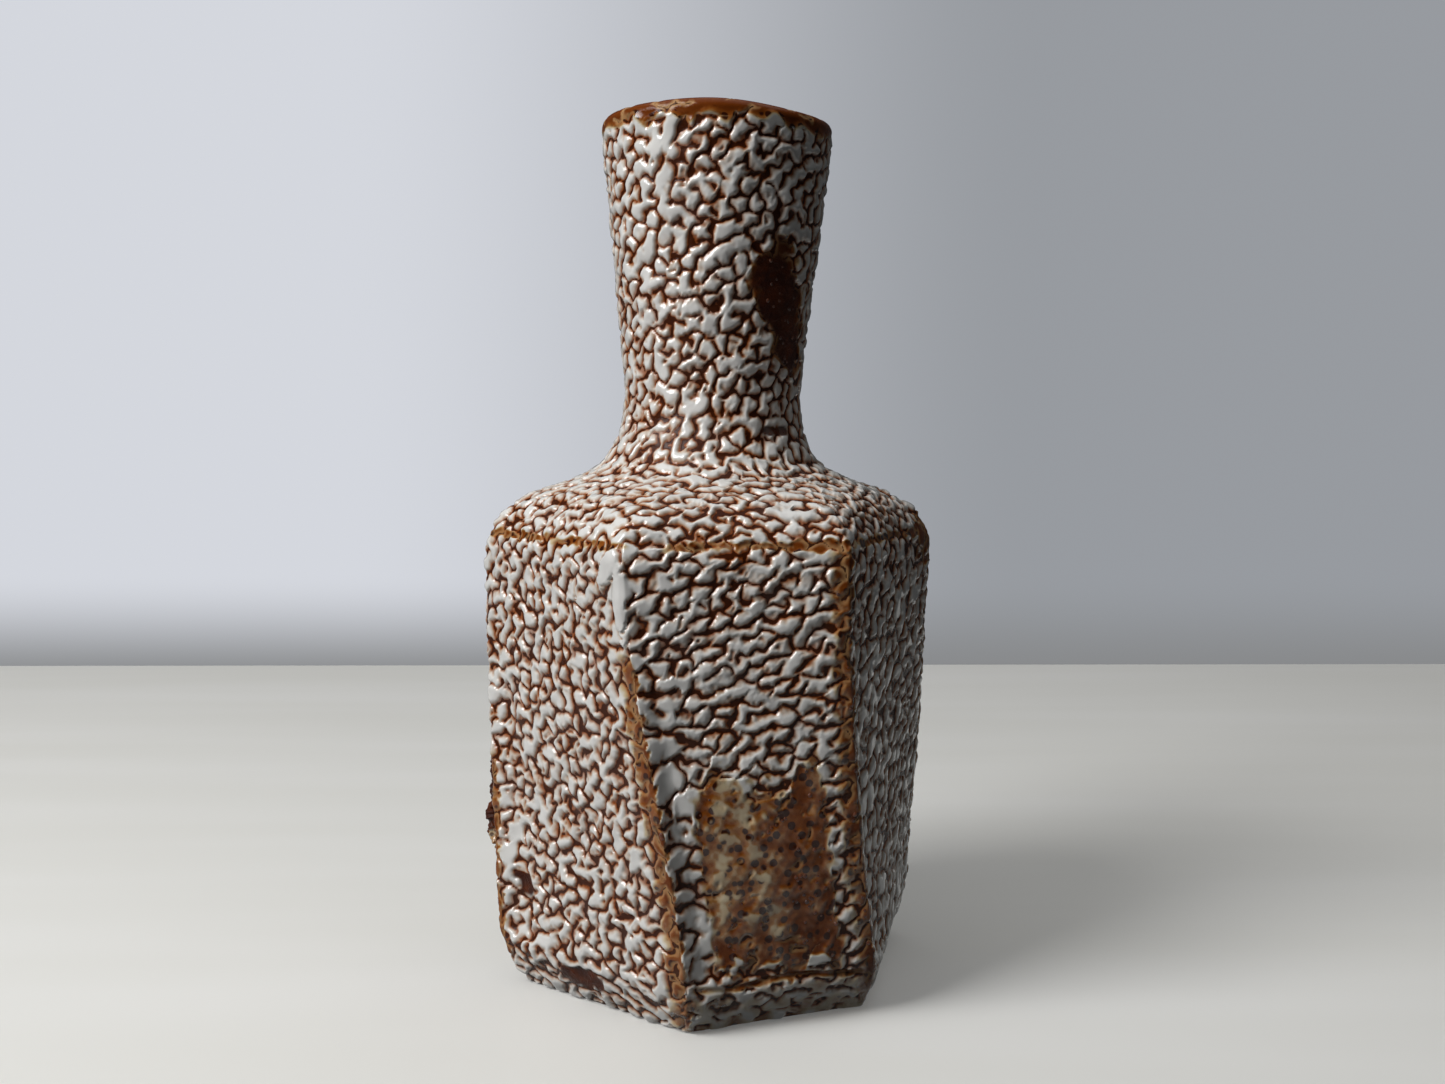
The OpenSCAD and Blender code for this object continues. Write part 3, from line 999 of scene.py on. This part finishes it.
@lru_cache(maxsize=1)
def liner():
    """Milky glaze of the chamber, warm where it is thin."""
    finish = Finish("liner_glaze")
    cloud = finish.noise(0.01)
    colour = finish.blend(cloud.between(0.35, 0.75), (0.60, 0.55, 0.45), (0.42, 0.25, 0.12))
    return finish.close(Base_Color=colour, Roughness=0.2, IOR=1.52,
                        Normal=finish.bump(finish.noise(0.002), 0.0003, 0.4))


@lru_cache(maxsize=1)
def iron_speck():
    """Dark glossy iron that boiled out of the clay."""
    finish = Finish("iron_speck")
    cloud = finish.noise(0.002).between(0.35, 0.65)
    colour = finish.blend(cloud, (0.050, 0.012, 0.004), (0.13, 0.032, 0.008))
    return finish.close(Base_Color=colour, Roughness=0.3)


# ---------------------------------------------------------------- settings


class GlazeSettings(bpy.types.PropertyGroup):
    """Sizes and colours of the crawled glaze."""

    depth: FloatProperty(
        name="Bead Depth", description="Depth of the cracks between the beads",
        default=0.54 * MM, min=0.1 * MM, max=0.8 * MM, unit="LENGTH", precision=5)
    crack_width: FloatProperty(
        name="Crack Width", description="Width of the brown cracks",
        default=0.42 * MM, min=0.1 * MM, max=1 * MM, unit="LENGTH", precision=5)
    halo_width: FloatProperty(
        name="Halo Width", description="Width of the orange edge along a crack",
        default=0.40 * MM, min=0.05 * MM, max=1 * MM, unit="LENGTH", precision=5)
    bead_round: FloatProperty(
        name="Bead Round", description="Distance over which a bead rises from a crack",
        default=1.05 * MM, min=0.3 * MM, max=2 * MM, unit="LENGTH", precision=5)
    waviness: FloatProperty(
        name="Waviness", description="How far the cracks wander from straight lines",
        default=0.27 * MM, min=0, max=0.5 * MM, unit="LENGTH", precision=5)
    white: FloatVectorProperty(
        name="White", description="Colour of the thick glaze",
        default=(0.67, 0.655, 0.62), subtype="COLOR", min=0, max=1)
    edge: FloatVectorProperty(
        name="Edge", description="Colour of a bead where it starts to thin",
        default=(0.43, 0.245, 0.105), subtype="COLOR", min=0, max=1)
    halo: FloatVectorProperty(
        name="Halo", description="Colour of the thin edge of a bead",
        default=(0.23, 0.052, 0.007), subtype="COLOR", min=0, max=1)
    crack: FloatVectorProperty(
        name="Crack", description="Colour at the bottom of a crack",
        default=(0.036, 0.007, 0.0015), subtype="COLOR", min=0, max=1)


class ClaySettings(bpy.types.PropertyGroup):
    """Colours of the bare clay."""

    dark: FloatVectorProperty(
        name="Dark Clay", description="Darker colour of the bare clay",
        default=(0.070, 0.024, 0.012), subtype="COLOR", min=0, max=1)
    light: FloatVectorProperty(
        name="Light Clay", description="Lighter colour of the bare clay",
        default=(0.17, 0.060, 0.026), subtype="COLOR", min=0, max=1)


class SpeckSettings(bpy.types.PropertyGroup):
    """The iron specks."""

    density: FloatProperty(
        name="Density", description="Specks on a square metre", default=170000, min=0)
    size: FloatProperty(
        name="Size", description="Radius of a speck", default=0.32 * MM, min=0, unit="LENGTH", precision=5)
    seed: IntProperty(name="Seed", description="Changes where the specks lie", default=3)


class StageSettings(bpy.types.PropertyGroup):
    """Camera and light."""

    camera_distance: FloatProperty(
        name="Camera Distance", description="Distance of the camera in front of the axis",
        default=0.279, min=0.1, max=2, unit="LENGTH")
    camera_height: FloatProperty(
        name="Camera Height", description="Height of the camera above the table",
        default=0.105, min=0.02, max=1, unit="LENGTH")
    camera_pitch: FloatProperty(
        name="Camera Pitch", description="How far the camera looks down",
        default=math.radians(4.8), subtype="ANGLE")
    camera_yaw: FloatProperty(
        name="Camera Yaw", description="How far the camera looks to the right of the axis",
        default=math.radians(0.45), subtype="ANGLE")
    lens: FloatProperty(
        name="Lens", description="Focal length for a 36 mm wide sensor", default=36.4, min=10, max=200)
    key: FloatProperty(
        name="Key Light", description="Power of the window light", default=8.2, min=0, unit="POWER")
    ceiling: FloatProperty(
        name="Ceiling Light", description="Power of the light from above", default=3.6, min=0, unit="POWER")
    fill: FloatProperty(
        name="Fill", description="Strength of the light from all sides", default=0.045, min=0)


class BottleSettings(bpy.types.PropertyGroup):
    """All that a user would change."""

    glaze: PointerProperty(type=GlazeSettings)
    clay: PointerProperty(type=ClaySettings)
    specks: PointerProperty(type=SpeckSettings)
    stage: PointerProperty(type=StageSettings)


def settings():
    """The bottle's settings in the open scene."""
    return bpy.context.scene.sake_bottle


# ---------------------------------------------------------------- operators


def round_columns(every):
    """Columns all the way round, all of them or each second one where the bottle is narrow."""
    return np.arange(0, FACETS * FACET_COLS, every) / FACET_COLS


class FacetCoats(bpy.types.Operator):
    """Glaze the six facets, each from ridge to ridge"""

    bl_idname = "bottle.facet_coats"
    bl_label = "Facet Coats"

    def execute(self, context):
        rows = rows_between(MARKS["band"], MARKS["arris"])
        for facet in range(FACETS):
            name = f"facet_glaze_{facet + 1}"
            columns = facet + np.linspace(0, 1, FACET_COLS + 1)
            piece = coat(f"{name}_coat", columns, rows, False, WALL_BACKING)
            settle(piece, crawled_glaze(), "white_glaze", name)
        return {"FINISHED"}


class FootCoat(bpy.types.Operator):
    """Glaze the rolled edge of the foot"""

    bl_idname = "bottle.foot_coat"
    bl_label = "Foot Coat"

    def execute(self, context):
        rows = rows_between(GLAZE_START_H, MARKS["band"])
        piece = coat("foot_glaze_coat", round_columns(1), rows, True, WALL_BACKING)
        settle(piece, crawled_glaze(), "white_glaze", "foot_glaze")
        return {"FINISHED"}


class ShoulderCoat(bpy.types.Operator):
    """Glaze the domed shoulder"""

    bl_idname = "bottle.shoulder_coat"
    bl_label = "Shoulder Coat"

    def execute(self, context):
        rows = rows_between(MARKS["arris"], MARKS["joint"], LONG_ROW_STEP)
        piece = coat("shoulder_glaze_coat", round_columns(1), rows, True, WALL_BACKING)
        settle(piece, crawled_glaze(), "white_glaze", "shoulder_glaze")
        return {"FINISHED"}


class NeckCoat(bpy.types.Operator):
    """Glaze the outside of the neck"""

    bl_idname = "bottle.neck_coat"
    bl_label = "Neck Coat"

    def execute(self, context):
        rows = rows_between(MARKS["joint"], MARKS["lip"], LONG_ROW_STEP)
        piece = coat("neck_glaze_coat", round_columns(2), rows, True, NECK_BACKING)
        settle(piece, crawled_glaze(), "white_glaze", "neck_glaze")
        return {"FINISHED"}


class LipCoat(bpy.types.Operator):
    """Glaze the rim in iron brown"""

    bl_idname = "bottle.lip_coat"
    bl_label = "Lip Coat"

    def execute(self, context):
        rows = rows_between(MARKS["lip"], MARKS["lip_in"])
        piece = coat("lip_glaze_coat", round_columns(2), rows, True, NECK_BACKING)
        settle(piece, crawled_glaze(), "iron_glaze", "lip_glaze")
        return {"FINISHED"}


class BoreCoat(bpy.types.Operator):
    """Glaze the inside of the neck"""

    bl_idname = "bottle.bore_coat"
    bl_label = "Bore Coat"

    def execute(self, context):
        rows = rows_between(MARKS["lip_in"], MARKS["end"], LONG_ROW_STEP)
        piece = coat("neck_liner_coat", round_columns(2), rows, True, LINER_T, inside=True)
        settle(piece, crawled_glaze(), "liner_glaze", "neck_liner")
        return {"FINISHED"}


class ClayBody(bpy.types.Operator):
    """Throw the faceted body, with its turned foot and its chamber"""

    bl_idname = "bottle.clay_body"
    bl_label = "Clay Body"

    def execute(self, context):
        f = np.arange(FACETS * CLAY_COLS) / CLAY_COLS
        rings = turned_foot(f)
        rings += [inset_ring(f, v, 0.75) for v in (0.3, 0.8, 1.3)]
        rings += [inset_ring(f, v, 1.9) for v in np.linspace(2, MARKS["joint"], 70)]
        rings[-1][:, 2] = JOINT_H
        turn = np.radians(RIDGES[0]) + np.arange(len(f)) / len(f) * 2 * math.pi
        way = np.stack([np.sin(turn), -np.cos(turn)], 1)
        for radius, z in chamber_line():
            rings.append(np.concatenate([radius * way, np.full((len(f), 1), z)], 1))
        settle(lathe("clay_body_thrown", rings), stoneware(), "clay", "clay_body")
        return {"FINISHED"}


def turned_foot(f):
    """Rings of the underside, from its middle out: a shallow recess with turning grooves."""
    edge = skin(f, np.full(len(f), 0.2))
    edge[:, :2] *= 1 - FOOT_INSET / FOOT_R
    rings = []
    for share in np.linspace(0.03, 1, 48):
        ring = edge * (share, share, 0)
        recess = FOOT_RECESS * (1 - ease((share - 0.74) / 0.06))
        groove = 0.1 * math.cos(2 * math.pi * share * FOOT_R / GROOVE_PITCH) * (share < 0.97)
        uneven = 0.12 * ripple(ring + (0, 0, recess + 0.1 + groove), 7, 71) * (share < 0.95)
        ring[:, 2] = recess + 0.1 + groove + uneven
        rings.append(ring)
    return rings


def inset_ring(f, v, depth):
    """A ring of points a given depth inside the outer surface."""
    points, _, _, out = skin_frame(f, np.zeros(len(f)) + v)
    return points - out * depth


def chamber_line():
    """Outline of the chamber from the joint down to the middle of its floor, as radius and height."""
    roof = bezier(ROOF_CURVE, np.linspace(1, 0, 16))
    wall = [(CHAMBER_R, z) for z in np.linspace(76, FLOOR_H + FLOOR_FILLET + 1, 12)]
    turn = np.radians(np.linspace(90, 0, 10))
    fillet = np.stack([
        CHAMBER_R - FLOOR_FILLET * (1 - np.sin(turn)), FLOOR_H + FLOOR_FILLET * (1 - np.cos(turn))
    ], 1)
    floor = [(radius, FLOOR_H) for radius in (16, 9, 1)]
    return [*roof, *wall, *fillet, *floor]


class Burr(bpy.types.Operator):
    """Tear the scrap of clay that stuck to the left side"""

    bl_idname = "bottle.burr"
    bl_label = "Burr"

    def execute(self, context):
        mesh = fused_lumps(context)
        count = len(mesh.vertices)
        points, normals = np.empty(count * 3), np.empty(count * 3)
        mesh.vertices.foreach_get("co", points)
        mesh.vertices.foreach_get("normal", normals)
        points = points.reshape(-1, 3) / MM
        torn = 0.35 * ripple(points * (1, 1, 0.6), 3, 81) + 0.18 * ripple(points, 1.1, 82)
        tear = 0.5 * ease(1 - np.abs(ripple(points * (1.6, 1.6, 0.5), 5, 83)) / 0.35)
        points += normals.reshape(-1, 3) * (torn - tear)[:, None]
        mesh.vertices.foreach_set("co", (points * MM).astype(np.float32).ravel())
        bare = ease((points[:, 2] - BURR_GLAZED_H - 0.8 * ripple(points, 3, 84)) / 1.5)
        store(mesh, {"crawl": np.ones(count), "thin": 0.3 + 0.5 * bare, "bare": bare})
        mesh.shade_smooth()
        settle(linked("clay_burr_torn", mesh), crawled_glaze(), "clay", "clay_burr")
        return {"FINISHED"}


def fused_lumps(context):
    """A mesh of the scrap's lumps, run together."""
    shape = bmesh.new()
    for (a, z, far, radius), (a2, z2, far2, radius2) in zip(BURR_LUMPS, BURR_LUMPS[1:]):
        for t in np.linspace(0, 1, 6):
            angle = math.radians(mix(a, a2, t))
            reach = mix(far, far2, t)
            centre = Vector((reach * math.sin(angle), -reach * math.cos(angle), mix(z, z2, t))) * MM
            size = mix(radius, radius2, t) * MM
            ball = bmesh.ops.create_icosphere(shape, subdivisions=3, radius=size)
            bmesh.ops.translate(shape, vec=centre, verts=ball["verts"])
    rough = linked("burr_lumps", mesh_from(shape, "burr_lumps"))
    remesh = rough.modifiers.new("fuse", "REMESH")
    remesh.mode = "VOXEL"
    remesh.voxel_size = 0.22 * MM
    smooth = rough.modifiers.new("soften", "SMOOTH")
    smooth.iterations = 4
    return applied(rough, context)


class IronSpecks(bpy.types.Operator):
    """Scatter iron specks and blisters over the rusty patch and the neck's scar"""

    bl_idname = "bottle.iron_specks"
    bl_label = "Iron Specks"

    def execute(self, context):
        holder = linked("speckled_ground", speckled_ground())
        look = settings().specks
        tree = speck_tree(iron_speck())
        modifier = holder.modifiers.new("specks", "NODES")
        modifier.node_group = tree
        values = {"Density": look.density, "Size": look.size, "Seed": look.seed}
        for socket in tree.interface.items_tree:
            if socket.name in values:
                modifier[socket.identifier] = values[socket.name]
        settle(linked("iron_specks", applied(holder, context)), iron_speck(), "iron_glaze")
        return {"FINISHED"}


def speckled_ground():
    """The faces of the rusty patch and of the neck's scar, away from their cracks."""
    shape = bmesh.new()
    for name, key in (("facet_glaze_2_coat", "thin"), ("neck_glaze_coat", "bare")):
        copy = bmesh.new()
        copy.from_mesh(bpy.data.objects[name].data)
        share = copy.verts.layers.float[key]
        crawl = copy.verts.layers.float["crawl"]
        away = [
            face for face in copy.faces
            if min(v[share] for v in face.verts) < 0.5 or min(v[crawl] for v in face.verts) < 0.1
        ]
        bmesh.ops.delete(copy, geom=away, context="FACES")
        part = mesh_from(copy, "speckled")
        shape.from_mesh(part)
        bpy.data.meshes.remove(part)
    return mesh_from(shape, "speckled_ground")


def speck_tree(material):
    """Geometry nodes that scatter flattened beads over a surface."""
    tree = bpy.data.node_groups.new("iron_specks", "GeometryNodeTree")
    face = tree.interface
    face.new_socket("Geometry", in_out="INPUT", socket_type="NodeSocketGeometry")
    face.new_socket("Density", in_out="INPUT", socket_type="NodeSocketFloat")
    face.new_socket("Size", in_out="INPUT", socket_type="NodeSocketFloat")
    face.new_socket("Seed", in_out="INPUT", socket_type="NodeSocketInt")
    face.new_socket("Geometry", in_out="OUTPUT", socket_type="NodeSocketGeometry")

    def add(kind, values=None):
        node = tree.nodes.new(kind)
        for key, value in (values or {}).items():
            node.inputs[key].default_value = value
        return node

    start, end = add("NodeGroupInput"), add("NodeGroupOutput")
    scatter = add("GeometryNodeDistributePointsOnFaces")
    bead = add("GeometryNodeMeshIcoSphere", {"Radius": 1.0, "Subdivisions": 2})
    flat = add("GeometryNodeTransform", {"Scale": (1, 1, 0.45)})
    size = add("FunctionNodeRandomValue", {"Min": 0.55, "Max": 1.25})
    scale = add("ShaderNodeMath")
    scale.operation = "MULTIPLY"
    lay = add("GeometryNodeInstanceOnPoints")
    solid = add("GeometryNodeRealizeInstances")
    paint = add("GeometryNodeSetMaterial", {"Material": material})
    links = (
        (start.outputs["Geometry"], scatter.inputs["Mesh"]),
        (start.outputs["Density"], scatter.inputs["Density"]),
        (start.outputs["Seed"], scatter.inputs["Seed"]),
        (start.outputs["Seed"], size.inputs["Seed"]),
        (scatter.outputs["Points"], lay.inputs["Points"]),
        (scatter.outputs["Rotation"], lay.inputs["Rotation"]),
        (bead.outputs["Mesh"], flat.inputs["Geometry"]),
        (flat.outputs["Geometry"], lay.inputs["Instance"]),
        (next(s for s in size.outputs if s.enabled), scale.inputs[0]),
        (start.outputs["Size"], scale.inputs[1]),
        (scale.outputs["Value"], lay.inputs["Scale"]),
        (lay.outputs["Instances"], solid.inputs["Geometry"]),
        (solid.outputs["Geometry"], paint.inputs["Geometry"]),
        (paint.outputs["Geometry"], end.inputs["Geometry"]),
    )
    for source, target in links:
        tree.links.new(source, target)
    return tree


class KeptClay(bpy.types.Operator):
    """Give the packed clay of the neck its stoneware and the chamber its glaze"""

    bl_idname = "bottle.kept_clay"
    bl_label = "Kept Clay"

    def execute(self, context):
        for node, material in (
            ("clay_neck", stoneware()), ("neck_coil", stoneware()), ("chamber_liner", liner()),
        ):
            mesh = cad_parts[node].data
            mesh.materials.clear()
            mesh.materials.append(material)
        return {"FINISHED"}


class Stage(bpy.types.Operator):
    """Set the table, the backdrop, the light and the camera"""

    bl_idname = "bottle.stage"
    bl_label = "Stage"

    def execute(self, context):
        look = settings().stage
        make_table()
        make_backdrop()
        area_light("window", (-0.565, -0.345, 0.60), (0, 0, 0.09), 0.42, look.key, (0.98, 0.985, 1.0))
        area_light("ceiling", (0, 0.05, 1.1), (0, 0.05, 0), 1.2, look.ceiling, (0.97, 0.985, 1.0))
        world = bpy.data.worlds.new("room")
        world.use_nodes = True
        sky = world.node_tree.nodes["Background"]
        sky.inputs["Color"].default_value = (0.93, 0.96, 1.0, 1)
        sky.inputs["Strength"].default_value = look.fill
        context.scene.world = world
        context.scene.view_settings.view_transform = "Standard"
        camera = bpy.data.cameras.new("camera")
        camera.lens = look.lens
        camera.sensor_width = 36
        camera.clip_start = 0.01
        seat = linked("camera", camera)
        seat.location = (0, -look.camera_distance, look.camera_height)
        seat.rotation_euler = (math.pi / 2 - look.camera_pitch, 0, -look.camera_yaw)
        context.scene.camera = seat
        return {"FINISHED"}


def make_table():
    """A plain pale table top that glows a little: painted light that lifts the shadows on it."""
    shape = bmesh.new()
    bmesh.ops.create_grid(shape, size=ROOM_HALF + 0.002)
    finish = Finish("table_top")
    cloud = finish.noise(0.12, 2, (0.4, 3, 1))
    colour = finish.blend(cloud.between(0.3, 0.8), (0.62, 0.61, 0.57), (0.66, 0.65, 0.62))
    # Painted light: the table top glows, which lifts the bottle's shadow on it.
    material = finish.close(
        Base_Color=colour, Roughness=0.5,
        Emission_Color=(1.0, 1.0, 0.97, 1.0), Emission_Strength=TABLE_GLOW)
    table = stand("table", shape, material)
    table.visible_diffuse = False


def make_backdrop():
    """Plain walls that only the camera sees, so that they block no light. They glow with painted light,
    lighter on the left and darker on the right, with a band of painted shadow along their foot.
    """
    shape = bmesh.new()
    bmesh.ops.create_cube(shape, size=1)
    ends = [face for face in shape.faces if abs(face.normal.z) > 0.5]
    bmesh.ops.delete(shape, geom=ends, context="FACES_ONLY")
    scale = (2 * ROOM_HALF, 2 * ROOM_HALF, ROOM_H)
    bmesh.ops.scale(shape, vec=scale, verts=shape.verts)
    bmesh.ops.translate(shape, vec=(0, 0, ROOM_H / 2 - 0.02), verts=shape.verts)
    upright = [edge for edge in shape.edges if abs(edge.verts[0].co.z - edge.verts[1].co.z) > 0.1]
    bmesh.ops.bevel(shape, geom=upright, offset=ROOM_CORNER, segments=8, affect="EDGES", profile=0.5)
    bmesh.ops.reverse_faces(shape, faces=shape.faces)
    finish = Finish("wall")
    here = finish.node("ShaderNodeTexCoord", output="Object")
    height = finish.node("ShaderNodeSeparateXYZ", inputs={"Vector": here}, output="Z")
    side = finish.node("ShaderNodeSeparateXYZ", inputs={"Vector": here}, output="X")
    # Painted light and shade: the walls are lighter on the left, towards the window light, and darker on
    # the right.
    painted_light_and_shade = finish.blend(side.between(-0.16, 0.14), (0.66, 0.68, 0.73), (0.31, 0.325, 0.35))
    # Painted shadow: a darker band along the foot of the walls, where they meet the table.
    foot = finish.blend(height.between(-0.01, 0.04), (0.24, 0.245, 0.25), painted_light_and_shade)
    # The walls glow with this painted light instead of being lit.
    glow = finish.node("ShaderNodeEmission", inputs={"Color": foot, "Strength": 1.0})
    finish.node_output(glow)
    wall = stand("wall", shape, finish.material)
    wall.visible_shadow = False
    wall.visible_diffuse = False
    wall.visible_glossy = False
    wall.visible_transmission = False


def stand(name, shape, material):
    """Links a bmesh as a part of the stage."""
    thing = linked(name, mesh_from(shape, name))
    thing.data.materials.append(material)
    return thing


def area_light(name, place_at, aim, size, power, colour):
    """A square soft light that looks at a point."""
    light = bpy.data.lights.new(name, "AREA")
    light.size = size
    light.energy = power
    light.color = colour
    lamp = linked(name, light)
    lamp.location = place_at
    lamp.rotation_euler = (Vector(aim) - Vector(place_at)).to_track_quat("-Z", "Y").to_euler()


OPERATORS = (
    FacetCoats, FootCoat, ShoulderCoat, NeckCoat, LipCoat, BoreCoat, IronSpecks,
    ClayBody, Burr, KeptClay, Stage,
)


class BottlePanel(bpy.types.Panel):
    """Sizes, colours and steps of the bottle"""

    bl_idname = "VIEW3D_PT_sake_bottle"
    bl_label = "Sake Bottle"
    bl_space_type = "VIEW_3D"
    bl_region_type = "UI"
    bl_category = "Bottle"

    def draw(self, context):
        chosen = settings()
        for group in (chosen.glaze, chosen.clay, chosen.specks, chosen.stage):
            box = self.layout.box()
            for key in group.__annotations__:
                box.prop(group, key)
        for operator in OPERATORS:
            self.layout.operator(operator.bl_idname)


CLASSES = (
    GlazeSettings, ClaySettings, SpeckSettings, StageSettings, BottleSettings,
    *OPERATORS, BottlePanel,
)


def register():
    """Registers the classes and the scene's settings."""
    for each in CLASSES:
        bpy.utils.register_class(each)
    bpy.types.Scene.sake_bottle = PointerProperty(type=BottleSettings)


def unregister():
    """Takes the classes and the scene's settings away again."""
    del bpy.types.Scene.sake_bottle
    for each in reversed(CLASSES):
        bpy.utils.unregister_class(each)


def main():
    """Makes every piece in order."""
    register()
    for operator in OPERATORS:
        group, name = operator.bl_idname.split(".")
        getattr(getattr(bpy.ops, group), name)()


if __name__ == "__main__":
    main()
